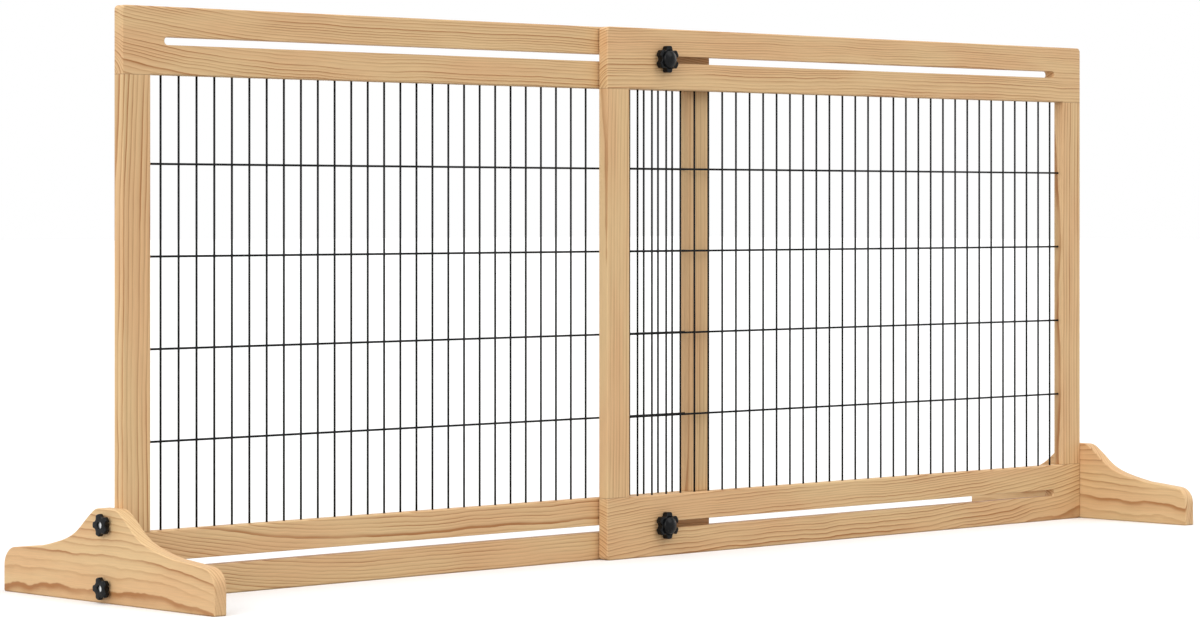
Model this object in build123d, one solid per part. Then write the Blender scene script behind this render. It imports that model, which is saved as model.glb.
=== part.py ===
from build123d import *
import math
import os

os.makedirs("parts", exist_ok=True)

# All sizes are in millimetres.
# X runs along the gate, Y from the front to the back and Z up from the floor.
# The middle of the overlap is at X = 0 and the plane between the two panels is at Y = 0.

# One panel. Both panels are the same, and the rear one is turned half a turn about Z.
panel_length = 972.0
panel_height = 690.0
panel_thickness = 16.5
panel_gap = 1.0
panel_overlap = 207.6
rail_height = 80.0
stile_width = 41.0
corner_round = 5.5
edge_ease = 1.3

# The long slots in the rails.
slot_height = 9.5
slot_outer_margin = 60.5

# The welded wire mesh, whose ends sit in a groove round the window of the frame.
wire_diameter = 2.0
upright_wire_pitch = 26.5
cross_wire_count = 4
cross_wire_pitch = 107.8
wire_end_depth = 5.0
wire_weld_sink = 0.2
wire_sides = 6
groove_depth = 5.5
groove_side_gap = 0.05

# The dowels in the corner joints.
dowel_diameter = 6.0
dowel_length = 36.0
dowel_offsets = [21.0, 33.0]
dowel_sides = 6

# The feet.
foot_thickness = 18.0
foot_half_length = 200.5
foot_height = 109.0
foot_top_half_width = 13.0
foot_end_round = 22.0
foot_end_height = 53.7
foot_end_slope = 6.0
foot_bottom_round = 2.0
foot_edge_ease = 1.2
# Height of the foot's top edge at some shares of its half length from the middle.
foot_curve = [(0.15, 102.0), (0.195, 95.0), (0.27, 82.5), (0.41, 69.0), (0.62, 59.3)]

# The screws of the foot knobs and the threaded inserts that they turn in.
foot_knob_heights = [17.5, 90.5]
stud_radius = 3.0
stud_clearance = 0.06
foot_hole_width = 7.0
foot_hole_sides = 12
insert_width = 10.0
insert_sides = 6
insert_length = 12.0
stud_end_gap = 2.0

# The five-lobed foot knobs.
foot_knob_lobes = 5
foot_knob_tip_radius = 13.2
foot_knob_valley_radius = 9.8
foot_knob_scallop_radius = 5.7
foot_knob_thickness = 6.0
foot_knob_boss_width = 14.0
foot_knob_boss_height = 3.3
foot_knob_seat_gap = 0.1
foot_knob_recess_radius = 3.8
foot_knob_recess_depth = 2.0
stud_head_flats = 10.0
stud_head_height = 4.0

# The clamp bolts, with a domed head and a square neck behind the rear rails.
bolt_radius = 4.0
bolt_neck_width = 8.0
bolt_neck_length = 5.0
bolt_head_radius = 10.3
bolt_head_height = 4.6
bolt_head_edge = 0.8
neck_end_gap = 0.5

# The washers of the clamp bolts.
washer_width = 24.0
washer_sides = 16
washer_thickness = 1.6
washer_hole_gap = 0.2
slide_gap = 0.1
spacer_width = 18.0

# The six-lobed clamp knobs with a domed cap.
clamp_knob_lobes = 6
clamp_knob_tip_radius = 17.7
clamp_knob_valley_radius = 13.3
clamp_knob_scallop_radius = 4.3
clamp_knob_thickness = 6.7
clamp_knob_boss_width = 18.0
clamp_knob_boss_height = 0.9
clamp_knob_cap_radius = 11.2
clamp_knob_cap_step = 1.0
clamp_knob_cap_rise = 3.8
dome_steps = 5
clamp_nut_flats = 13.0
clamp_nut_height = 6.5
clamp_bolt_clearance = 0.06
clamp_bolt_end_gap = 0.8

# The bosses and the softened corners and rim of both kinds of knob.
boss_sides = 12
lobe_corner_ease = 1.1
lobe_rim_ease = 0.9

# Places that follow from the sizes above.
panel_mid_y = -(panel_gap + panel_thickness) / 2
panel_inner_x = -panel_overlap / 2
panel_outer_x = panel_inner_x + panel_length
panel_mid_x = (panel_inner_x + panel_outer_x) / 2
panel_mid_z = panel_height / 2
panel_face_y = panel_mid_y - panel_thickness / 2
upright_wire_count = int((panel_length - 2 * stile_width) / upright_wire_pitch)
slot_heights = [rail_height / 2, panel_height - rail_height / 2]
slot_inner_end_x = -(bolt_neck_width + slot_height) / 2 - neck_end_gap
slot_outer_end_x = panel_outer_x - slot_outer_margin
stud_length = foot_thickness + insert_length + stud_end_gap


def turned(piece, side):
    """Leaves a piece at the front, or turns it half a turn about Z for the rear."""
    if side == "rear":
        return Rot(0, 0, 180) * piece
    return piece


def block(x_low, x_high, y_low, y_high, z_low, z_high):
    """A box between two corners."""
    size = Box(x_high - x_low, y_high - y_low, z_high - z_low)
    middle = Pos((x_low + x_high) / 2, (y_low + y_high) / 2, (z_low + z_high) / 2)
    return middle * size


def rod_along_x(radius, y, z, x_low, x_high):
    """A round rod along X."""
    return Pos((x_low + x_high) / 2, y, z) * Rot(0, 90, 0) * Cylinder(radius, x_high - x_low)


def polygon(width, sides):
    """A regular outline of that width across its flats, with a flat at the top."""
    return RegularPolygon(width / 2, sides, major_radius=False, rotation=90 - 180 / sides)


def faceted_rod(width, sides, length):
    """A rod along Z with flat sides, for thin round pieces that repeat many times."""
    return extrude(polygon(width, sides), amount=length / 2, both=True)


def faceted_rod_up(width, sides, x, y, z_low, z_high):
    """An upright faceted rod."""
    return Pos(x, y, (z_low + z_high) / 2) * faceted_rod(width, sides, z_high - z_low)


def faceted_rod_along_x(width, sides, y, z, x_low, x_high):
    """A faceted rod along X."""
    return Pos((x_low + x_high) / 2, y, z) * Rot(0, 90, 0) * faceted_rod(width, sides, x_high - x_low)


def frame_blank():
    """The whole wooden frame of a panel, eased all round and grooved, before it's parted into its four boards."""
    outline = Plane.XZ * RectangleRounded(panel_length, panel_height, corner_round)
    window = Plane.XZ * Rectangle(panel_length - 2 * stile_width, panel_height - 2 * rail_height)
    frame = extrude(outline - window, amount=panel_thickness / 2, both=True)
    on_faces = frame.edges().filter_by(lambda e: abs(abs(e.center().Y) - panel_thickness / 2) < 0.001)
    frame = chamfer(on_faces, edge_ease)
    groove_length = panel_length - 2 * stile_width + 2 * groove_depth
    groove_height = panel_height - 2 * rail_height + 2 * groove_depth
    groove_width = 2 * wire_diameter - wire_weld_sink + 2 * groove_side_gap
    frame = frame - Box(groove_length, groove_width, groove_height)
    return Pos(panel_mid_x, panel_mid_y, panel_mid_z) * frame


def slot_cutter(height):
    """The body of a long slot with round ends."""
    length = slot_outer_end_x - slot_inner_end_x
    middle_x = (slot_outer_end_x + slot_inner_end_x) / 2
    profile = Plane.XZ * SlotOverall(length, slot_height)
    return Pos(middle_x, panel_mid_y, height) * extrude(profile, amount=panel_thickness, both=True)


def upright_wire_places():
    """X of each upright wire."""
    first = panel_mid_x - upright_wire_pitch * (upright_wire_count - 1) / 2
    return [first + upright_wire_pitch * i for i in range(upright_wire_count)]


def cross_wire_places():
    """Z of each cross wire."""
    first = panel_mid_z - cross_wire_pitch * (cross_wire_count - 1) / 2
    return [first + cross_wire_pitch * i for i in range(cross_wire_count)]


def upright_wires():
    """The upright wires, with their ends in the groove of both rails."""
    y = panel_mid_y - (wire_diameter - wire_weld_sink) / 2
    low = rail_height - wire_end_depth
    high = panel_height - rail_height + wire_end_depth
    return [faceted_rod_up(wire_diameter, wire_sides, x, y, low, high) for x in upright_wire_places()]


def cross_wires():
    """The cross wires, welded to the back of the upright ones, with their ends in the groove of both stiles."""
    y = panel_mid_y + (wire_diameter - wire_weld_sink) / 2
    low = panel_inner_x + stile_width - wire_end_depth
    high = panel_outer_x - stile_width + wire_end_depth
    return [faceted_rod_along_x(wire_diameter, wire_sides, y, z, low, high) for z in cross_wire_places()]


def dowels():
    """Two dowels in each of the four corner joints."""
    pins = []
    for joint_z in [rail_height, panel_height - rail_height]:
        for offset in dowel_offsets:
            for x in [panel_inner_x + offset, panel_outer_x - offset]:
                pin = faceted_rod(dowel_diameter, dowel_sides, dowel_length)
                pins.append(Pos(x, panel_mid_y, joint_z) * pin)
    return pins


def insert_nut(height):
    """A threaded insert in the panel's end, before its bore is cut."""
    low = panel_outer_x - insert_length
    return faceted_rod_along_x(insert_width, insert_sides, panel_mid_y, height, low, panel_outer_x)


def insert_nuts():
    """The two inserts of a panel with their threaded bores."""
    nuts = []
    for height in foot_knob_heights:
        bore_radius = stud_radius + stud_clearance
        bore = rod_along_x(bore_radius, panel_mid_y, height, panel_outer_x - insert_length - 1, panel_outer_x + 1)
        nuts.append(insert_nut(height) - bore)
    return nuts


def stud_room(height):
    """The blind hole behind an insert that leaves room for the end of the screw."""
    end_x = panel_outer_x - insert_length - 2 * stud_end_gap
    return faceted_rod_along_x(foot_hole_width, foot_hole_sides, panel_mid_y, height, end_x, panel_outer_x)


def panel_boards():
    """The two rails and two stiles of a panel, with every hole that they need."""
    blank = frame_blank()
    low_z = rail_height
    high_z = panel_height - rail_height
    y_low = panel_mid_y - panel_thickness
    y_high = panel_mid_y + panel_thickness
    left = panel_inner_x - 1
    right = panel_outer_x + 1
    boards = {}
    boards["bottom_rail"] = blank & block(left, right, y_low, y_high, -1, low_z)
    boards["top_rail"] = blank & block(left, right, y_low, y_high, high_z, panel_height + 1)
    boards["inner_stile"] = blank & block(left, panel_inner_x + stile_width, y_low, y_high, low_z, high_z)
    boards["outer_stile"] = blank & block(panel_outer_x - stile_width, right, y_low, y_high, low_z, high_z)
    boards["bottom_rail"] = boards["bottom_rail"] - slot_cutter(slot_heights[0])
    boards["top_rail"] = boards["top_rail"] - slot_cutter(slot_heights[1])
    for name in boards:
        boards[name] = boards[name] - dowels()
    for name in ["bottom_rail", "outer_stile"]:
        for height in foot_knob_heights:
            boards[name] = boards[name] - insert_nut(height) - stud_room(height)
    return boards


def foot_side(way):
    """One half of a foot's outline from its top to its base: way is 1 for the right and -1 for the left."""
    round_x = foot_half_length - foot_end_round
    round_z = foot_end_height - foot_end_round
    shoulder_angle = math.radians(90 - foot_end_slope)
    shoulder_x = round_x + foot_end_round * math.cos(shoulder_angle)
    shoulder_z = round_z + foot_end_round * math.sin(shoulder_angle)
    middle_x = round_x + foot_end_round * math.cos(shoulder_angle / 2)
    middle_z = round_z + foot_end_round * math.sin(shoulder_angle / 2)
    curve = [(share * foot_half_length, z) for share, z in foot_curve]
    points = [(foot_top_half_width, foot_height)] + curve + [(shoulder_x, shoulder_z)]
    points = [(way * x, z) for x, z in points]
    leaving = (way * math.sin(shoulder_angle), -math.cos(shoulder_angle))
    sweep = Spline(*points, tangents=[(way, 0), leaving])
    end_top = (way * foot_half_length, round_z)
    shoulder = ThreePointArc(points[-1], (way * middle_x, middle_z), end_top)
    end = Line(end_top, (way * foot_half_length, 0))
    return [sweep, shoulder, end]


def foot():
    """A foot board: a tall middle that sweeps down to long low ends with round shoulders."""
    top = Line((-foot_top_half_width, foot_height), (foot_top_half_width, foot_height))
    base = Line((-foot_half_length, 0), (foot_half_length, 0))
    outline = make_face([top, base] + foot_side(1) + foot_side(-1))
    bottom_corners = outline.vertices().filter_by(lambda v: v.Y < 0.001)
    outline = fillet(bottom_corners, foot_bottom_round)
    board = extrude(Plane.YZ * outline, amount=foot_thickness)
    on_faces = board.edges().filter_by(lambda e: min(abs(e.center().X), abs(e.center().X - foot_thickness)) < 0.001)
    board = chamfer(on_faces, foot_edge_ease)
    board = Pos(panel_outer_x, panel_mid_y, 0) * board
    for height in foot_knob_heights:
        low = panel_outer_x - 1
        high = panel_outer_x + foot_thickness + 1
        board = board - faceted_rod_along_x(foot_hole_width, foot_hole_sides, panel_mid_y, height, low, high)
    return board


def star(lobes, tip_radius, valley_radius, scallop_radius, thickness, first_angle):
    """A star-shaped grip: a disc with scallops between its lobes, softened corners and a softened front rim."""
    disc = Circle(tip_radius)
    reach = valley_radius + scallop_radius
    step = 2 * math.pi / lobes
    for i in range(lobes):
        angle = first_angle + step * (i + 0.5)
        disc = disc - Pos(reach * math.cos(angle), reach * math.sin(angle)) * Circle(scallop_radius)
    disc = chamfer(disc.vertices(), lobe_corner_ease)
    grip = extrude(disc, amount=thickness)
    rim = grip.edges().filter_by(lambda e: abs(e.center().Z - thickness) < 0.001)
    return chamfer(rim, lobe_rim_ease)


def domed_disc(radius, straight, rise):
    """A round disc with a straight side and a shallow dome of conical steps on top, standing on Z = 0."""
    ball_radius = (radius**2 + rise**2) / (2 * rise)
    half_angle = math.asin(radius / ball_radius)
    profile = [(0, 0), (radius, 0)]
    for step in range(dome_steps + 1):
        angle = half_angle * (1 - step / (dome_steps + 0.5))
        drop = ball_radius * (1 - math.cos(angle))
        profile.append((ball_radius * math.sin(angle), straight + rise - drop))
    profile.append((0, profile[-1][1]))
    return revolve(Plane.XZ * make_face(Polyline(*profile, close=True)), Axis.Z)


def hexagon_bar(flats, height):
    """An upright hexagonal bar."""
    return extrude(polygon(flats, 6), amount=height)


def stud():
    """The screw of a foot knob, along Z with the foot's outer face at Z = 0 and its head inside the knob."""
    head_top = foot_knob_seat_gap + foot_knob_boss_height + foot_knob_thickness - foot_knob_recess_depth
    head_low = head_top - stud_head_height
    shank = Pos(0, 0, -stud_length) * extrude(Circle(stud_radius), amount=stud_length + head_low)
    head = Pos(0, 0, head_low) * hexagon_bar(stud_head_flats, stud_head_height)
    return shank + head


def foot_knob():
    """A foot knob, along Z with the foot's outer face at Z = 0."""
    first_angle = -math.pi / 2
    grip = star(
        foot_knob_lobes,
        foot_knob_tip_radius,
        foot_knob_valley_radius,
        foot_knob_scallop_radius,
        foot_knob_thickness,
        first_angle,
    )
    boss = extrude(polygon(foot_knob_boss_width, boss_sides), amount=foot_knob_boss_height + 1)
    body = Pos(0, 0, foot_knob_boss_height) * grip + boss
    body = Pos(0, 0, foot_knob_seat_gap) * body
    recess = extrude(Circle(foot_knob_recess_radius), amount=foot_knob_thickness)
    floor_z = foot_knob_seat_gap + foot_knob_boss_height + foot_knob_thickness - foot_knob_recess_depth
    return body - Pos(0, 0, floor_z) * recess - stud()


def at_foot(piece, height):
    """Moves a foot knob piece to its place on the foot of the front panel."""
    return Pos(panel_outer_x + foot_thickness, panel_mid_y, height) * Rot(0, 90, 0) * piece


def clamp_knob():
    """A clamp knob with a domed cap, along Z with the washer's front face at Z = 0."""
    grip = star(
        clamp_knob_lobes,
        clamp_knob_tip_radius,
        clamp_knob_valley_radius,
        clamp_knob_scallop_radius,
        clamp_knob_thickness,
        math.pi / 2,
    )
    boss = extrude(polygon(clamp_knob_boss_width, boss_sides), amount=clamp_knob_boss_height + 1)
    cap_low = clamp_knob_boss_height + clamp_knob_thickness - 1
    cap_straight = clamp_knob_cap_step + 1
    cap = Pos(0, 0, cap_low) * domed_disc(clamp_knob_cap_radius, cap_straight, clamp_knob_cap_rise)
    body = Pos(0, 0, clamp_knob_boss_height) * grip + boss + cap
    nut_room = hexagon_bar(clamp_nut_flats, clamp_nut_height)
    bolt_room = extrude(Circle(bolt_radius + clamp_bolt_end_gap), amount=clamp_bolt_reach() + clamp_bolt_end_gap)
    return body - nut_room - bolt_room


def clamp_nut():
    """The hexagonal nut moulded into a clamp knob."""
    bore = extrude(Circle(bolt_radius + clamp_bolt_clearance), amount=clamp_nut_height)
    return hexagon_bar(clamp_nut_flats, clamp_nut_height) - bore


def clamp_bolt_reach():
    """How far a clamp bolt goes past the washer into its knob."""
    return clamp_nut_height + 1.5


def knob_seat_y():
    """Y of the plane where a clamp knob starts, just in front of its washer."""
    return panel_face_y - slide_gap - washer_thickness


def at_slot(piece, height):
    """Moves a clamp knob piece to its bolt in front of the front panel."""
    return Pos(0, knob_seat_y() - slide_gap, height) * Rot(90, 0, 0) * piece


def clamp_bolt(height):
    """A bolt with a domed head and a square neck that runs through both slots of one pair of rails."""
    back_y = -panel_face_y
    tip_y = knob_seat_y() - slide_gap - clamp_bolt_reach()
    shank_length = back_y - tip_y
    shank = extrude(Circle(bolt_radius), amount=shank_length)
    neck = extrude(Rectangle(bolt_neck_width, bolt_neck_width), amount=bolt_neck_length)
    head_rise = bolt_head_height - bolt_head_edge
    head = Rot(180, 0, 0) * domed_disc(bolt_head_radius, bolt_head_edge, head_rise)
    bolt = shank + neck + head
    return Pos(0, back_y, height) * Rot(90, 0, 0) * bolt


def ring_around_bolt(width, thickness, back_y, height):
    """A flat ring on a clamp bolt, from back_y towards the front."""
    ring = polygon(width, washer_sides) - polygon(2 * (bolt_radius + washer_hole_gap), washer_sides)
    return Pos(0, back_y, height) * Rot(90, 0, 0) * extrude(ring, amount=thickness)


def save(piece, name):
    """Writes one node, made of a single solid or of several loose ones."""
    if isinstance(piece, list):
        piece = Compound(children=piece)
    piece.label = name
    export_step(piece, "parts/" + name + ".step")


def build_panel(side):
    """Writes every node of one panel with its foot."""
    boards = panel_boards()
    for name in boards:
        save(turned(boards[name], side), side + "_" + name)
    save([turned(wire, side) for wire in upright_wires()], side + "_upright_wires")
    save([turned(wire, side) for wire in cross_wires()], side + "_cross_wires")
    save([turned(pin, side) for pin in dowels()], side + "_dowels")
    save([turned(nut, side) for nut in insert_nuts()], side + "_insert_nuts")
    save(turned(foot(), side), side + "_foot")
    for height, level in zip(foot_knob_heights, ["lower", "upper"]):
        save(turned(at_foot(foot_knob(), height), side), side + "_foot_knob_" + level)
        save(turned(at_foot(stud(), height), side), side + "_foot_stud_" + level)


def build_clamps():
    """Writes the bolts, washers, spacers, nuts and knobs that clamp the two panels."""
    washer_y = panel_face_y - slide_gap
    spacer_thickness = panel_gap - slide_gap
    spacer_y = panel_gap / 2
    save([clamp_bolt(z) for z in slot_heights], "clamp_bolts")
    save([ring_around_bolt(washer_width, washer_thickness, washer_y, z) for z in slot_heights], "clamp_washers")
    save([ring_around_bolt(spacer_width, spacer_thickness, spacer_y, z) for z in slot_heights], "clamp_spacers")
    for height, level in zip(slot_heights, ["lower", "upper"]):
        save(at_slot(clamp_nut(), height), "clamp_nut_" + level)
        save(at_slot(clamp_knob(), height), "clamp_knob_" + level)


build_panel("front")
build_panel("rear")
build_clamps()
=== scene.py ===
import bmesh
import bpy
import math
from collections import namedtuple
from mathutils import Matrix, Vector

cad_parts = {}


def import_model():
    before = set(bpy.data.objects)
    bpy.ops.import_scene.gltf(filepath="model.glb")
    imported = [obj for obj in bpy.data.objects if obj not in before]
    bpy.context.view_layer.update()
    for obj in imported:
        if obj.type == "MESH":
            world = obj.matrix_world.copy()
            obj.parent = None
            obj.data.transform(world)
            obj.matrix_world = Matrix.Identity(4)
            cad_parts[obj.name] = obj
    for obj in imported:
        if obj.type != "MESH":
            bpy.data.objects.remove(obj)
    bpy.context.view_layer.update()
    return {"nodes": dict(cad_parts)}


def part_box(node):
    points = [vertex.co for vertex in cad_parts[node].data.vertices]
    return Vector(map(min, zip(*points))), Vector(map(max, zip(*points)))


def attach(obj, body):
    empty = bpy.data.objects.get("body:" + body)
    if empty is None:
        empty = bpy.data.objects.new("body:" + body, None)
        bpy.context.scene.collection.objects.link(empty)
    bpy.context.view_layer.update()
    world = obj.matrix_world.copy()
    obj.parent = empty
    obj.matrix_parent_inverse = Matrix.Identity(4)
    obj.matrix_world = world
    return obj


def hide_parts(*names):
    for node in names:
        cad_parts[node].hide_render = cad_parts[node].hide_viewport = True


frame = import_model()
scene = bpy.context.scene

SIDES = ("rear", "front")
MILLIMETRES = Matrix.Scale(0.001, 4)

# Heights of the screws over the floor, as in the solids, in metres.
CLAMP_HEIGHTS = {"lower": 0.040, "upper": 0.650}
FOOT_SCREW_HEIGHTS = {"lower": 0.0175, "upper": 0.0905}

# The wires of each panel, as in the solids: how many, and the corner radius of their six-sided section.
UPRIGHT_COUNT = 33
CROSS_COUNT = 4
WIRE_CORNER = 0.0011547

# The round wires that stand for them, with the flattened beads of their welds.
WIRE_RADIUS = 0.00132
WIRE_SIDES = 12
WELD_RADIUS = 0.00150
WELD_HALF_DEPTH = 0.00085
WELD_SIDES = 10
WELD_STEPS = 6

# The strips that close the wire groove at the window, and the notch in them for each wire.
STRIP_DEPTH = 0.0012
STRIP_HALF_WIDTH = 0.00195
NOTCH_RADIUS = 0.00148
NOTCH_EASE = 0.00001
NOTCH_STEPS = 8


# Helpers for meshes.


def new_piece(name, verts, faces, material, body, replaced=(), smooth=True):
    """A mesh piece that rides on a body and stands for the nodes that it replaces."""
    mesh = bpy.data.meshes.new(name)
    mesh.from_pydata(verts, [], faces)
    mesh.validate()
    for polygon in mesh.polygons:
        polygon.use_smooth = smooth
    mesh.materials.append(material)
    piece = bpy.data.objects.new(name, mesh)
    scene.collection.objects.link(piece)
    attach(piece, body)
    if replaced:
        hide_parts(*replaced)
    return piece


def turns(count):
    """The angles of a full turn in equal steps."""
    return [2 * math.pi * i / count for i in range(count)]


def add_skin(verts, faces, rings):
    """Joins rings of equal length into a closed skin, with one face at each end."""
    base = len(verts)
    count = len(rings[0])
    for ring in rings:
        verts.extend(ring)
    for k in range(len(rings) - 1):
        low = base + k * count
        high = low + count
        for i in range(count):
            j = (i + 1) % count
            faces.append((low + i, low + j, high + j, high + i))
    last = base + (len(rings) - 1) * count
    faces.append(tuple(base + i for i in reversed(range(count))))
    faces.append(tuple(last + i for i in range(count)))


def place(points, matrix):
    return [tuple(matrix @ Vector(point)) for point in points]


# Helpers for materials.


class Graph:
    """Short calls that add shader nodes and link them."""

    def __init__(self, tree):
        self.tree = tree

    def node(self, kind, **settings):
        made = self.tree.nodes.new(kind)
        for key, value in settings.items():
            setattr(made, key, value)
        return made

    def put(self, value, socket):
        if isinstance(value, bpy.types.NodeSocket):
            self.tree.links.new(value, socket)
        else:
            socket.default_value = value

    def math(self, operation, a, b=0.0, c=0.0, clamp=False):
        made = self.node("ShaderNodeMath", operation=operation, use_clamp=clamp)
        for value, socket in zip((a, b, c), made.inputs):
            self.put(value, socket)
        return made.outputs[0]

    def join(self, x, y, z):
        made = self.node("ShaderNodeCombineXYZ")
        for value, socket in zip((x, y, z), made.inputs):
            self.put(value, socket)
        return made.outputs[0]

    def vector(self, operation, a, b):
        made = self.node("ShaderNodeVectorMath", operation=operation)
        self.put(a, made.inputs[0])
        self.put(b, made.inputs[1])
        return made.outputs[0]

    def object_spot(self):
        return self.node("ShaderNodeTexCoord").outputs["Object"]

    def noise(self, spot, scale=1.0, detail=2.0, rough=0.5):
        made = self.node("ShaderNodeTexNoise")
        self.put(spot, made.inputs["Vector"])
        made.inputs["Scale"].default_value = scale
        made.inputs["Detail"].default_value = detail
        made.inputs["Roughness"].default_value = rough
        return made.outputs["Fac"]

    def grain(self, spot, along, across, detail=2.0, rough=0.5):
        """A noise drawn out along the grain, with its two sizes in mm."""
        drawn = self.vector("MULTIPLY", spot, (1 / along, 1 / across, 1 / across))
        return self.noise(drawn, detail=detail, rough=rough)

    def band(self, value, low, high, to_low=0.0, to_high=1.0):
        """A smooth step of value from low to high."""
        made = self.node("ShaderNodeMapRange", interpolation_type="SMOOTHSTEP")
        self.put(value, made.inputs["Value"])
        made.inputs["From Min"].default_value = low
        made.inputs["From Max"].default_value = high
        made.inputs["To Min"].default_value = to_low
        made.inputs["To Max"].default_value = to_high
        return made.outputs["Result"]

    def mix(self, factor, a, b, blend="MIX"):
        made = self.node("ShaderNodeMix", data_type="RGBA", blend_type=blend)
        self.put(factor, made.inputs[0])
        self.put(a, made.inputs[6])
        self.put(b, made.inputs[7])
        return made.outputs[2]

    def bump(self, height, strength, distance, normal=None):
        made = self.node("ShaderNodeBump")
        made.inputs["Strength"].default_value = strength
        made.inputs["Distance"].default_value = distance
        self.put(height, made.inputs["Height"])
        if normal:
            self.put(normal, made.inputs["Normal"])
        return made.outputs[0]

    def background_rays(self):
        """1 for the rays that show the background: from the camera, in gloss and through glass."""
        path = self.node("ShaderNodeLightPath")
        seen = self.math("MAXIMUM", path.outputs["Is Camera Ray"], path.outputs["Is Glossy Ray"])
        return self.math("MAXIMUM", seen, path.outputs["Is Transmission Ray"])


def linear(red, green, blue):
    """An sRGB colour of 0 to 255 as a linear one."""
    out = []
    for value in (red, green, blue):
        value = value / 255
        out.append(value / 12.92 if value <= 0.04045 else ((value + 0.055) / 1.055) ** 2.4)
    return (*out, 1.0)


def new_material(name):
    material = bpy.data.materials.new(name)
    material.use_nodes = True
    graph = Graph(material.node_tree)
    return material, graph, material.node_tree.nodes["Principled BSDF"]


def paint(node, material):
    node.data.materials.clear()
    node.data.materials.append(material)


def tint(graph, shader, noise, first, second):
    """Colour that drifts with a noise between two sRGB colours."""
    colour = graph.mix(graph.band(noise, 0.3, 0.7), linear(*first), linear(*second))
    graph.put(colour, shader.inputs["Base Color"])


def roughen(graph, shader, noise, low, high):
    """Roughness that drifts with a noise."""
    graph.put(graph.band(noise, 0.3, 0.7, low, high), shader.inputs["Roughness"])


# Pine.

EARLY = linear(224, 187, 140)
LATE = linear(170, 116, 68)
ROSY = linear(221, 176, 128)
STRAW = linear(224, 192, 142)
SEAM = linear(120, 78, 44)
SEAM_WIDTH = 0.4

# axes: which of X, Y and Z runs along the grain, across the rings and along them.
# pith: how far the pith is from the board's middle, across and along the rings, in mm.
# bends: shift of the rings in mm, by the first, second and third power of the distance along in 100 mm.
# ring: mean width of a ring in mm.
# wobble, reach: size and length of the rings' waves in mm.
# strength: how dark the late wood is.
Board = namedtuple("Board", "axes pith bends ring wobble reach strength")
BOARDS = {
    "rear_top_rail": Board("XZY", (-80, 27), (0.3, 0.2, -0.22), 3.5, 3.2, 130, 1.35),
    "rear_bottom_rail": Board("XZY", (92, -42), (0.0, 1.0, -0.25), 4.6, 3.8, 120, 1.35),
    "rear_outer_stile": Board("ZXY", (-70, 30), (1.6, 0.5, 0.0), 6.4, 3.5, 180, 1.4),
    "rear_inner_stile": Board("ZXY", (80, -25), (0.6, -0.3, 0.0), 6.0, 3.0, 210, 0.9),
    "front_top_rail": Board("XZY", (-56, -30), (0.4, -0.2, 0.0), 3.5, 3.0, 110, 1.3),
    "front_bottom_rail": Board("XZY", (-70, 32), (1.2, 0.5, 0.18), 3.7, 3.6, 110, 1.45),
    "front_outer_stile": Board("ZXY", (60, 20), (0.4, 0.3, 0.0), 5.6, 3.0, 210, 1.35),
    "front_inner_stile": Board("ZXY", (-90, -20), (0.5, 0.0, 0.1), 5.6, 2.6, 210, 0.85),
    "rear_foot": Board("YZX", (-95, -250), (4.0, -2.0, 0.0), 4.0, 3.2, 100, 1.12),
    "front_foot": Board("YZX", (-95, 240), (3.0, -1.0, 0.0), 4.0, 3.0, 110, 1.15),
}


def ring_radius(graph, board, along, across, depth, spot):
    """Distance in mm from the pith line, which bends along the grain and waves a little."""
    wobble = board.wobble
    slow = graph.grain(spot, board.reach, 75, detail=1.5)
    quick = graph.grain(spot, board.reach / 4, 22)
    sway = graph.math("MULTIPLY_ADD", slow, 2 * wobble, -wobble)
    sway = graph.math("ADD", sway, graph.math("MULTIPLY_ADD", quick, 0.5 * wobble, -0.25 * wobble))

    unit = graph.math("DIVIDE", along, 100.0)
    shift = graph.math("MULTIPLY_ADD", unit, board.bends[2], board.bends[1])
    shift = graph.math("MULTIPLY_ADD", unit, shift, board.bends[0])
    shift = graph.math("MULTIPLY", unit, shift)
    across = graph.math("SUBTRACT", graph.math("SUBTRACT", across, shift), board.pith[0])
    depth = graph.math("SUBTRACT", depth, board.pith[1])
    across_square = graph.math("MULTIPLY", across, across)
    square = graph.math("ADD", across_square, graph.math("MULTIPLY", depth, depth))
    return graph.math("ADD", graph.math("SQRT", square), sway)


def late_wood(graph, radius, ring, spot, seed):
    """How dark a spot is: 0 in early wood, rising to the sharp end of each ring's late wood."""
    years = graph.math("DIVIDE", radius, ring)
    uneven = graph.noise(graph.join(graph.math("MULTIPLY", years, 0.31), seed * 7.1, 0.0), detail=1.0)
    years = graph.math("ADD", years, graph.math("MULTIPLY", uneven, 2.2))
    season = graph.math("FRACT", years)
    year = graph.node("ShaderNodeTexWhiteNoise", noise_dimensions="1D")
    graph.put(graph.math("FLOOR", years), year.inputs["W"])

    steep = graph.math("MULTIPLY", graph.band(season, 0.62, 0.9), 0.65)
    late = graph.math("MULTIPLY_ADD", graph.band(season, 0.05, 0.85), 0.35, steep)
    dark = graph.math("MULTIPLY", late, graph.band(season, 0.93, 1.0, 1.0, 0.0))
    weight = graph.math("MULTIPLY_ADD", year.outputs["Value"], 0.65, 0.35)
    fade = graph.band(graph.grain(spot, 160, 30), 0.28, 0.66, 0.35, 1.0)
    return graph.math("MULTIPLY", graph.math("MULTIPLY", dark, weight), fade)


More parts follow.
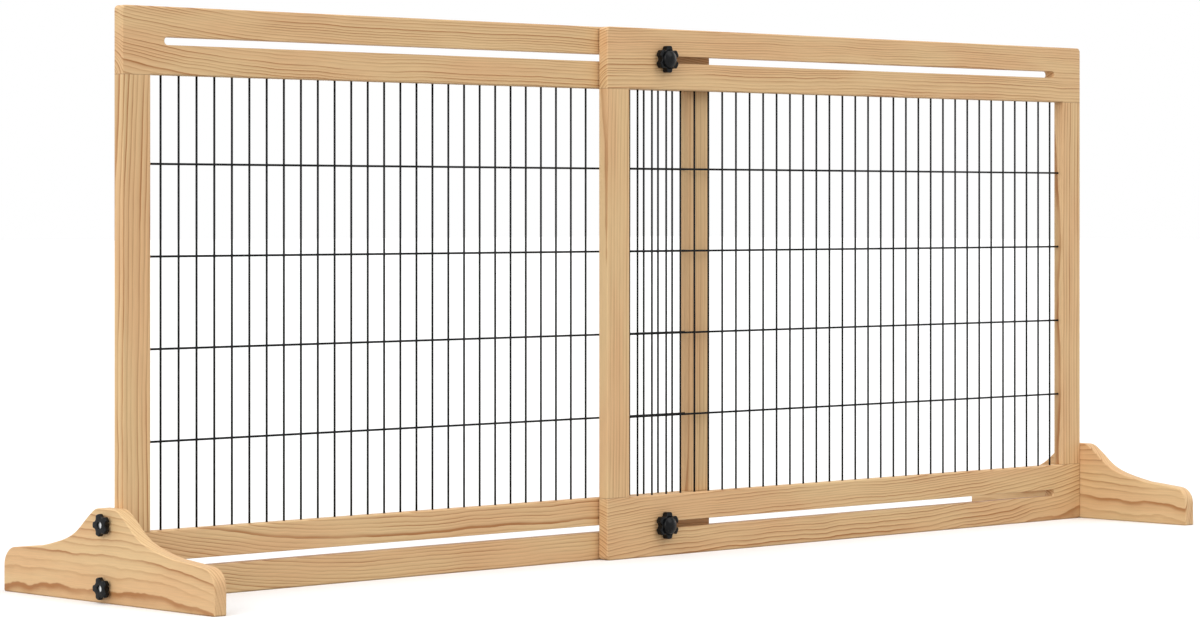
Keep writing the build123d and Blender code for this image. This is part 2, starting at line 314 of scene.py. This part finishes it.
def pine(name, board, centre, length, seed):
    """Pine as growth rings round a pith line, for a board with its middle at centre."""
    material, graph, shader = new_material(name)
    spot = graph.vector("ADD", graph.object_spot(), tuple(-c for c in centre))
    parts = graph.node("ShaderNodeSeparateXYZ")
    graph.put(graph.vector("MULTIPLY", spot, (1000.0, 1000.0, 1000.0)), parts.inputs[0])
    along, across, depth = [parts.outputs["XYZ".index(axis)] for axis in board.axes]
    spot = graph.vector("ADD", graph.join(along, across, depth), (seed * 371.0, seed * 53.0, seed * 97.0))
    radius = ring_radius(graph, board, along, across, depth, spot)
    line = late_wood(graph, radius, board.ring, spot, seed)
    streak = graph.grain(spot, 45, 1.5, detail=3.0, rough=0.6)
    fibre = graph.grain(spot, 9, 0.35)
    patch = graph.grain(spot, 240, 45)

    tone = graph.mix(graph.band(patch, 0.36, 0.64), STRAW, ROSY)
    tone = graph.mix(0.55, EARLY, tone)
    tone = graph.mix(graph.math("MULTIPLY", line, board.strength, clamp=True), tone, LATE)
    fine = graph.band(fibre, 0.3, 0.7, -0.015, 0.015)
    shade = graph.math("ADD", graph.band(streak, 0.25, 0.75, 0.93, 1.035), fine)
    grey = graph.node("ShaderNodeCombineColor")
    for socket in grey.inputs:
        graph.put(shade, socket)
    tone = graph.mix(1.0, tone, grey.outputs[0], "MULTIPLY")
    if board.axes[0] == "Z":
        # A stile's ends show the dark line of the joint with the rails.
        seam = graph.math("GREATER_THAN", graph.math("ABSOLUTE", along), length / 2 - SEAM_WIDTH)
        tone = graph.mix(graph.math("MULTIPLY", seam, 0.6), tone, SEAM)
    graph.put(tone, shader.inputs["Base Color"])

    smoother = graph.math("MULTIPLY", line, -0.08)
    rough = graph.math("ADD", graph.band(streak, 0.3, 0.7, 0.50, 0.62), smoother)
    graph.put(rough, shader.inputs["Roughness"])
    shader.inputs["Specular IOR Level"].default_value = 0.3

    relief = graph.math("ADD", graph.math("MULTIPLY", fibre, 0.35), graph.math("MULTIPLY", streak, 0.3))
    relief = graph.math("ADD", relief, graph.math("MULTIPLY", line, 0.45))
    eased = graph.node("ShaderNodeBevel", samples=6)
    eased.inputs["Radius"].default_value = 0.0016
    graph.put(graph.bump(relief, 0.35, 0.00035, eased.outputs[0]), shader.inputs["Normal"])
    return material


PINES = {}
for seed, (node_name, board) in enumerate(BOARDS.items(), 1):
    low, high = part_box(node_name)
    length = 1000 * (high.z - low.z)
    PINES[node_name] = pine(node_name + "_pine", board, (low + high) / 2, length, seed)
    paint(frame["nodes"][node_name], PINES[node_name])


# The other materials.


def coated_wire():
    material, graph, shader = new_material("black_wire_coat")
    spot = graph.object_spot()
    grain = graph.noise(spot, 2600.0, 3.0)
    tint(graph, shader, graph.noise(spot, 90.0, 3.0), (7, 8, 9), (14, 15, 16))
    roughen(graph, shader, grain, 0.45, 0.58)
    shader.inputs["Specular IOR Level"].default_value = 0.15
    graph.put(graph.bump(grain, 0.25, 0.00008), shader.inputs["Normal"])
    return material


def knob_plastic():
    material, graph, shader = new_material("black_plastic_gloss")
    spot = graph.object_spot()
    cloud = graph.noise(spot, 160.0, 3.0)
    tint(graph, shader, cloud, (11, 12, 13), (18, 19, 21))
    roughen(graph, shader, cloud, 0.2, 0.29)
    shader.inputs["Specular IOR Level"].default_value = 0.14
    graph.put(graph.bump(graph.noise(spot, 3000.0, 2.0), 0.12, 0.00005), shader.inputs["Normal"])
    return material


def zinc_steel(name, first, second):
    material, graph, shader = new_material(name)
    cloud = graph.noise(graph.object_spot(), 260.0, 4.0)
    tint(graph, shader, cloud, first, second)
    roughen(graph, shader, cloud, 0.24, 0.38)
    shader.inputs["Metallic"].default_value = 1.0
    return material


def plain_plastic():
    material, graph, shader = new_material("spacer_plastic_plain")
    cloud = graph.noise(graph.object_spot(), 400.0, 3.0)
    tint(graph, shader, cloud, (226, 226, 220), (234, 234, 229))
    roughen(graph, shader, cloud, 0.45, 0.55)
    return material


def beech():
    material, graph, shader = new_material("dowel_wood_beech")
    fleck = graph.noise(graph.vector("MULTIPLY", graph.object_spot(), (900.0, 900.0, 60.0)), 1.0, 3.0)
    tint(graph, shader, fleck, (205, 166, 124), (178, 136, 96))
    roughen(graph, shader, fleck, 0.6, 0.72)
    return material


WIRE = coated_wire()
PLASTIC = knob_plastic()
ZINC = zinc_steel("zinc_steel_bright", (196, 198, 199), (222, 223, 222))
# A darker copy of the zinc, as painted shade, for the screw ends at the bottom of the knobs' holes and the
# washers under the knobs.
SHADED_ZINC = zinc_steel("zinc_steel_shaded", (112, 114, 118), (168, 170, 172))
SPACER = plain_plastic()
BEECH = beech()

for node_name, node in frame["nodes"].items():
    if node_name in BOARDS:
        continue
    if node_name.endswith("wires"):
        paint(node, WIRE)
    elif "knob" in node_name:
        paint(node, PLASTIC)
    elif node_name == "clamp_spacers":
        paint(node, SPACER)
    elif node_name.endswith("dowels"):
        paint(node, BEECH)
    else:
        paint(node, ZINC)


# The wire mesh.


def spread(low, high, count):
    """The centres of count wires between the outermost faces of the first and the last."""
    first = low + WIRE_CORNER
    last = high - WIRE_CORNER
    return [first + (last - first) * i / (count - 1) for i in range(count)]


def tube(verts, faces, start, end):
    """A straight round wire."""
    start, end = Vector(start), Vector(end)
    turn = (end - start).to_track_quat("Z", "Y").to_matrix()
    rings = []
    for spot in (start, end):
        ring = []
        for angle in turns(WIRE_SIDES):
            offset = Vector((WIRE_RADIUS * math.cos(angle), WIRE_RADIUS * math.sin(angle), 0))
            ring.append(tuple(spot + turn @ offset))
        rings.append(ring)
    add_skin(verts, faces, rings)


def weld(verts, faces, spot):
    """The small flattened bead where two wires are welded."""
    rings = []
    for k in range(1, WELD_STEPS):
        lift = math.pi * k / WELD_STEPS
        ring = []
        for angle in turns(WELD_SIDES):
            x = WELD_RADIUS * math.sin(lift) * math.cos(angle)
            z = WELD_RADIUS * math.sin(lift) * math.sin(angle)
            y = -WELD_HALF_DEPTH * math.cos(lift)
            ring.append((spot[0] + x, spot[1] + y, spot[2] + z))
        rings.append(ring)
    add_skin(verts, faces, rings)


Layout = namedtuple("Layout", "xs zs upright_y cross_y")
LAYOUTS = {}
for side in SIDES:
    body = side + "_panel"
    low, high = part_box(side + "_upright_wires")
    cross_low, cross_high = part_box(side + "_cross_wires")
    xs = spread(low.x, high.x, UPRIGHT_COUNT)
    zs = spread(cross_low.z, cross_high.z, CROSS_COUNT)
    upright_y = (low.y + high.y) / 2
    cross_y = (cross_low.y + cross_high.y) / 2
    LAYOUTS[side] = Layout(xs, zs, upright_y, cross_y)

    verts, faces = [], []
    for x in xs:
        tube(verts, faces, (x, upright_y, low.z), (x, upright_y, high.z))
    new_piece(side + "_mesh_uprights", verts, faces, WIRE, body, [side + "_upright_wires"])

    verts, faces = [], []
    for z in zs:
        tube(verts, faces, (cross_low.x, cross_y, z), (cross_high.x, cross_y, z))
        for x in xs:
            weld(verts, faces, (x, (upright_y + cross_y) / 2, z))
    new_piece(side + "_mesh_cross_wires", verts, faces, WIRE, body, [side + "_cross_wires"])


# The window's faces, where the wires enter the wood.


def notched_edge(ends, wires, wire_y, near, way):
    """Places along a strip with the y of its edge there, which goes round each wire in a half circle."""
    stations = [(ends[0], near)]
    for wire in wires:
        stations.append((wire - NOTCH_RADIUS - NOTCH_EASE, near))
        for k in range(NOTCH_STEPS + 1):
            angle = math.pi * k / NOTCH_STEPS
            edge = wire_y - way * NOTCH_RADIUS * math.sin(angle)
            stations.append((wire - NOTCH_RADIUS * math.cos(angle), edge))
        stations.append((wire + NOTCH_RADIUS + NOTCH_EASE, near))
    stations.append((ends[1], near))
    return stations


def window_strip(name, run, ends, depths, middle, wires, wire_y, board_name):
    """A thin strip of a board's own wood along run, X or Z, flush with the window's face.
    It closes the groove between depths and has a rounded notch for each wire."""
    way = -1 if wire_y < middle else 1
    near = middle + way * STRIP_HALF_WIDTH
    far = middle - way * STRIP_HALF_WIDTH
    rings = []
    for spot, edge in notched_edge(ends, wires, wire_y, near, way):
        ring = [(edge, depths[0]), (edge, depths[1]), (far, depths[1]), (far, depths[0])]
        rings.append([(spot, y, depth) if run == "X" else (depth, y, spot) for y, depth in ring])
    verts, faces = [], []
    add_skin(verts, faces, rings)
    body = name.split("_")[0] + "_panel"
    strip = new_piece(name, verts, faces, PINES[board_name], body, smooth=False)
    shell = bmesh.new()
    shell.from_mesh(strip.data)
    bmesh.ops.recalc_face_normals(shell, faces=shell.faces)
    shell.to_mesh(strip.data)
    shell.free()


for side in SIDES:
    stiles = sorted([side + "_inner_stile", side + "_outer_stile"], key=lambda name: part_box(name)[0].x)
    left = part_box(stiles[0])[1].x
    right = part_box(stiles[1])[0].x
    low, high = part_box(side + "_inner_stile")
    middle = (low.y + high.y) / 2
    wide, tall = (left, right), (low.z, high.z)
    sill, head = (low.z - STRIP_DEPTH, low.z), (high.z, high.z + STRIP_DEPTH)
    left_face, right_face = (left - STRIP_DEPTH, left), (right, right + STRIP_DEPTH)
    xs, zs, upright_y, cross_y = LAYOUTS[side]
    window = side + "_window_"
    window_strip(window + "sill", "X", wide, sill, middle, xs, upright_y, side + "_bottom_rail")
    window_strip(window + "head", "X", wide, head, middle, xs, upright_y, side + "_top_rail")
    window_strip(window + "left", "Z", tall, left_face, middle, zs, cross_y, stiles[0])
    window_strip(window + "right", "Z", tall, right_face, middle, zs, cross_y, stiles[1])


# Star knobs, with their sizes in mm. Their outline is a disc with scallops.
# Their steps go up from the seat.

CORNER_WINDOW = math.radians(5.5)
CORNER_STEPS = 8


def star_outline(lobes, tip, valley, scallop, first, count):
    """Radius of a scalloped disc at each of count angles, with its corners rounded."""
    reach = valley + scallop
    half_step = math.pi / lobes

    def sharp(angle):
        local = (angle - first) % (2 * half_step) - half_step
        inside = scallop**2 - (reach * math.sin(local)) ** 2
        if inside <= 0:
            return tip
        return min(tip, reach * math.cos(local) - math.sqrt(inside))

    radii = []
    for angle in turns(count):
        total, weights = 0.0, 0.0
        for k in range(-CORNER_STEPS, CORNER_STEPS + 1):
            weight = 1 - abs(k) / (CORNER_STEPS + 1)
            total += weight * sharp(angle + CORNER_WINDOW * k / CORNER_STEPS)
            weights += weight
        radii.append(total / weights)
    return radii


def stepped_mesh(outline, steps):
    """Rings through steps: ("star", inset, z) follows the outline and ("round", radius, z) is a circle."""
    rings = []
    for kind, value, z in steps:
        ring = []
        for edge, angle in zip(outline, turns(len(outline))):
            radius = edge - value if kind == "star" else value
            ring.append((radius * math.cos(angle), radius * math.sin(angle), z))
        rings.append(ring)
    verts, faces = [], []
    add_skin(verts, faces, rings)
    return verts, faces


def star_plate(base, top, rim):
    """Steps of a star plate from its eased lower edge to the top of its rounded rim."""
    steps = [("star", 0.8, base), ("star", 0.15, base + 0.25), ("star", 0.0, base + 0.8)]
    for k in range(6):
        angle = math.pi / 2 * k / 5
        steps.append(("star", rim * (1 - math.cos(angle)), top - rim + rim * math.sin(angle)))
    return steps


CLAMP_STAR = star_outline(lobes=6, tip=17.7, valley=13.3, scallop=4.3, first=math.pi / 2, count=240)
CLAMP_BOSS = 0.4
CLAMP_PLATE = 8.6
CAP_RADIUS = 11.45
CAP_LIFT = 1.6
CAP_RISE = 4.8

FOOT_STAR = star_outline(lobes=5, tip=13.2, valley=9.8, scallop=5.7, first=-math.pi / 2, count=200)
FOOT_GAP = 0.1
FOOT_PLATE_BASE = FOOT_GAP + 3.3
FOOT_PLATE_TOP = FOOT_PLATE_BASE + 6.0
SCREW_SUNK = 2.9
SCREW_OUTLINE = [1.0] * 48


def clamp_knob_steps():
    """A low boss, the star plate, and a domed cap set in a narrow seam."""
    top = CLAMP_BOSS + CLAMP_PLATE
    steps = [("round", 5.0, 0.0), ("round", 9.0, 0.0), ("round", 9.0, CLAMP_BOSS)]
    steps += star_plate(CLAMP_BOSS, top, 1.3)
    seam_and_wall = ((0.5, 0.0), (0.3, -0.35), (0.05, -0.35), (0.0, 0.0), (0.0, 1.0), (-0.1, 1.35))
    steps += [("round", CAP_RADIUS + wider, top + lift) for wider, lift in seam_and_wall]
    ball = (CAP_RADIUS**2 + CAP_RISE**2) / (2 * CAP_RISE)
    half = math.asin(CAP_RADIUS / ball)
    for k in range(1, 15):
        angle = half * (1 - k / 14.5)
        sunk = ball * (1 - math.cos(angle))
        steps.append(("round", ball * math.sin(angle), top + CAP_LIFT + CAP_RISE - sunk))
    return steps


def foot_knob_steps():
    """A neck, the star plate, and a hole down to the screw."""
    top = FOOT_PLATE_TOP
    neck = ((5.9, FOOT_GAP), (6.6, FOOT_GAP), (6.9, 0.4), (7.0, FOOT_PLATE_BASE))
    steps = [("round", radius, z) for radius, z in neck]
    steps += star_plate(FOOT_PLATE_BASE, top, 1.2)
    brim = ((5.4, 0.0), (4.9, 0.0), (4.3, 0.12), (3.95, 0.5), (3.8, 1.0))
    hole = ((3.7, 1.8), (3.6, 2.7), (2.9, 2.85), (2.9, 3.1))
    steps += [("round", radius, top - deep) for radius, deep in brim + hole]
    return steps


def screw_end_steps():
    """The end of a foot screw with a shallow centre mark, seen at the bottom of its knob's hole."""
    top = FOOT_PLATE_TOP - SCREW_SUNK
    profile = ((2.85, -0.4), (2.8, -0.1), (2.3, 0.28), (1.5, 0.45), (1.0, 0.4), (0.5, 0.1), (0.05, -0.05))
    return [("round", radius, top + high) for radius, high in profile]


for level, height in CLAMP_HEIGHTS.items():
    name = "clamp_knob_" + level
    seat_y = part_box(name)[1].y
    verts, faces = stepped_mesh(CLAMP_STAR, clamp_knob_steps())
    matrix = Matrix.Translation((0, seat_y, height)) @ Matrix.Rotation(math.pi / 2, 4, "X") @ MILLIMETRES
    new_piece(name + "_grip", place(verts, matrix), faces, PLASTIC, name, [name])

for side in SIDES:
    low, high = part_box(side + "_foot")
    face_x = low.x if side == "rear" else high.x
    rail_low, rail_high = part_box(side + "_top_rail")
    middle_y = (rail_low.y + rail_high.y) / 2
    turn = Matrix.Rotation(math.pi / 2, 4, "Y")
    if side == "rear":
        turn = Matrix.Rotation(math.pi, 4, "Z") @ turn
    for level, height in FOOT_SCREW_HEIGHTS.items():
        name = side + "_foot_knob_" + level
        matrix = Matrix.Translation((face_x, middle_y, height)) @ turn @ MILLIMETRES
        verts, faces = stepped_mesh(FOOT_STAR, foot_knob_steps())
        new_piece(name + "_grip", place(verts, matrix), faces, PLASTIC, name, [name])
        verts, faces = stepped_mesh(SCREW_OUTLINE, screw_end_steps())
        screw_name = side + "_foot_screw_end_" + level
        new_piece(screw_name, place(verts, matrix), faces, SHADED_ZINC, name)


# Washers, as a closed profile of radius and height in mm that ends where it starts.

WASHER_PROFILE = (
    (4.3, 0.0),
    (11.7, 0.0),
    (11.92, 0.1),
    (12.0, 0.35),
    (12.0, 1.2),
    (11.9, 1.48),
    (11.65, 1.6),
    (4.5, 1.6),
    (4.3, 1.4),
    (4.3, 0.0),
)
WASHER_OUTLINE = [1.0] * 64

verts, faces = [], []
low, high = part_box("clamp_washers")
for height in CLAMP_HEIGHTS.values():
    steps = [("round", radius, z) for radius, z in WASHER_PROFILE]
    ring_verts, ring_faces = stepped_mesh(WASHER_OUTLINE, steps)
    matrix = Matrix.Translation((0, high.y, height)) @ Matrix.Rotation(math.pi / 2, 4, "X") @ MILLIMETRES
    start = len(verts)
    verts += place(ring_verts, matrix)
    # The two end faces of the skin are left out, because they would close the washer's hole.
    faces += [tuple(start + i for i in face) for face in ring_faces if len(face) == 4]
new_piece("clamp_washers_round", verts, faces, SHADED_ZINC, "rear_panel", ["clamp_washers"])


# Floor, light and camera.

WHITE = (1.0, 1.0, 1.0, 1.0)
FLOOR_GREY = (0.42, 0.42, 0.42, 1.0)
FLOOR_REACH = 40.0
SKY_STRENGTH = 0.53


def floor():
    """A floor that looks white and throws the light of a grey one back on the object."""
    mesh = bpy.data.meshes.new("floor")
    corners = [(-1, -1), (1, -1), (1, 1), (-1, 1)]
    mesh.from_pydata([(x * FLOOR_REACH, y * FLOOR_REACH, 0) for x, y in corners], [], [(0, 1, 2, 3)])
    material, graph, shader = new_material("floor_white")
    cloud = graph.noise(graph.object_spot(), 3.0, 2.0)
    pale = graph.mix(cloud, linear(249, 249, 249), linear(251, 251, 251))
    graph.put(graph.mix(graph.background_rays(), FLOOR_GREY, pale), shader.inputs["Base Color"])
    shader.inputs["Roughness"].default_value = 0.9
    shader.inputs["Specular IOR Level"].default_value = 0.0
    mesh.materials.append(material)
    plane = bpy.data.objects.new("floor", mesh)
    scene.collection.objects.link(plane)


def sun(name, direction, strength, spread_angle):
    """A soft lamp whose light travels along direction."""
    light = bpy.data.lights.new(name, "SUN")
    light.energy = strength
    light.angle = math.radians(spread_angle)
    lamp = bpy.data.objects.new(name, light)
    lamp.rotation_euler = Vector(direction).to_track_quat("-Z", "Y").to_euler()
    scene.collection.objects.link(lamp)


def background(graph, strength):
    made = graph.node("ShaderNodeBackground")
    made.inputs["Color"].default_value = WHITE
    made.inputs["Strength"].default_value = strength
    return made.outputs[0]


def world():
    """An even sky that is white where it is seen."""
    sky = bpy.data.worlds.new("studio")
    sky.use_nodes = True
    scene.world = sky
    sky.node_tree.nodes.clear()
    graph = Graph(sky.node_tree)
    both = graph.node("ShaderNodeMixShader")
    graph.put(graph.background_rays(), both.inputs[0])
    graph.put(background(graph, SKY_STRENGTH), both.inputs[1])
    graph.put(background(graph, 1.0), both.inputs[2])
    out = graph.node("ShaderNodeOutputWorld")
    graph.put(both.outputs[0], out.inputs["Surface"])


def camera():
    """The camera of the photograph, level and shifted down as its upright edges ask."""
    lens = bpy.data.cameras.new("photo_camera")
    lens.sensor_fit = "HORIZONTAL"
    lens.sensor_width = 36.0
    lens.lens = 113.08
    lens.shift_x = 0.0
    lens.shift_y = -0.0855
    lens.clip_end = 200.0
    eye = bpy.data.objects.new("photo_camera", lens)
    eye.location = (-3.5038, -3.4978, 0.4549)
    eye.rotation_euler = (math.pi / 2, 0, math.radians(-44.214))
    scene.collection.objects.link(eye)
    scene.camera = eye


floor()
world()
sun("overhead", (0.10, 0.10, -1.0), 1.0, 70)
sun("key", (-0.22, 0.75, -0.70), 0.75, 40)
sun("right_rim", (-1.0, 0.02, -0.12), 0.5, 40)
sun("left_fill", (1.0, 0.30, -0.35), 1.62, 50)
sun("back_fill", (0.10, -1.0, -0.45), 0.6, 60)
camera()
scene.view_settings.view_transform = "Standard"
